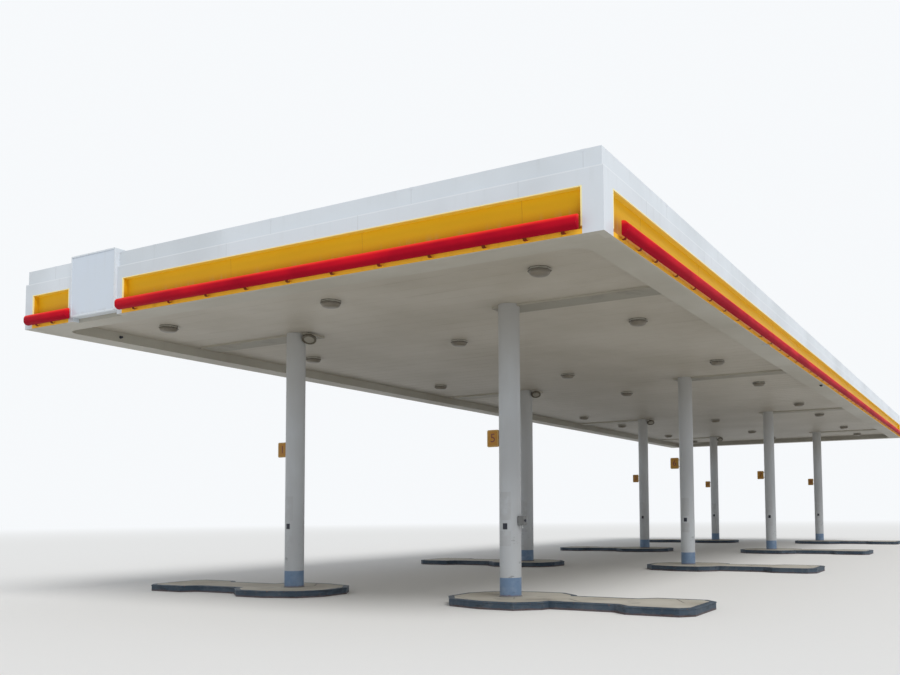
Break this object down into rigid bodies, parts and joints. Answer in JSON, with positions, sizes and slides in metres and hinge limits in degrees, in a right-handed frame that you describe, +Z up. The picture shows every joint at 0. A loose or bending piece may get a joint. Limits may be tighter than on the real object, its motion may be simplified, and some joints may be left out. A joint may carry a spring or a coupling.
{
  "type": "filling station canopy",
  "caption": "Long flat forecourt canopy on round columns in two rows, with dog-bone pump islands, a coved fascia with a light bar, and an open steel roof frame.",
  "frame": {"origin": "on the ground at the middle of the canopy's plan", "axes": "+Z up, +Y along the canopy away from the sign end, +X across it"},
  "size_m": [11.34, 34.33, 5.84],
  "materials": {
    "bar_red": "gloss translucent",
    "box_grey": "satin",
    "bracket_dark": "satin",
    "column_paint": "satin, painted blue-grey foot",
    "cove_yellow": "satin",
    "cover_paint": "satin",
    "deck_paint": "satin",
    "fascia_white": "satin composite panel",
    "flag_yellow": "satin",
    "gutter_sheet": "satin",
    "island_concrete": "brushed concrete",
    "kerb_paint": "satin, scuffed",
    "light_housing": "satin",
    "sign_face": "plain opal sheet",
    "sign_frame": "satin",
    "speaker_grey": "satin",
    "steel_primer": "grey primer"
  },
  "bodies": {
    "root": {"bar_brackets": "bracket_dark", "beam_covers": "cover_paint", "column_cap_plates": "steel_primer", "column_east_1": "column_paint", "column_east_2": "column_paint", "column_east_3": "column_paint", "column_east_4": "column_paint", "column_west_1": "column_paint", "column_west_2": "column_paint", "column_west_3": "column_paint", "column_west_4": "column_paint", "cove_back": "cove_yellow", "cove_east": "cove_yellow", "cove_front": "cove_yellow", "cove_west": "cove_yellow", "deck_bay_1": "deck_paint", "deck_bay_2": "deck_paint", "deck_bay_3": "deck_paint", "deck_bay_4": "deck_paint", "deck_bay_5": "deck_paint", "downlights": "light_housing", "edge_bands": "deck_paint", "edge_beams": "steel_primer", "fascia_corners": "fascia_white", "fascia_lower_back": "fascia_white", "fascia_lower_east": "fascia_white", "fascia_lower_front": "fascia_white", "fascia_lower_west": "fascia_white", "fascia_stays": "steel_primer", "fascia_upper": "fascia_white", "gutters": "gutter_sheet", "island_kerbs": "kerb_paint", "island_slabs": "island_concrete", "light_bars": "bar_red", "main_beam_1": "steel_primer", "main_beam_2": "steel_primer", "main_beam_3": "steel_primer", "main_beam_4": "steel_primer", "number_flags": "flag_yellow", "purlins": "steel_primer", "sign_cabinet": "sign_frame", "sign_face": "sign_face", "speakers": "speaker_grey", "stop_box": "box_grey"}
  },
  "joints": []
}
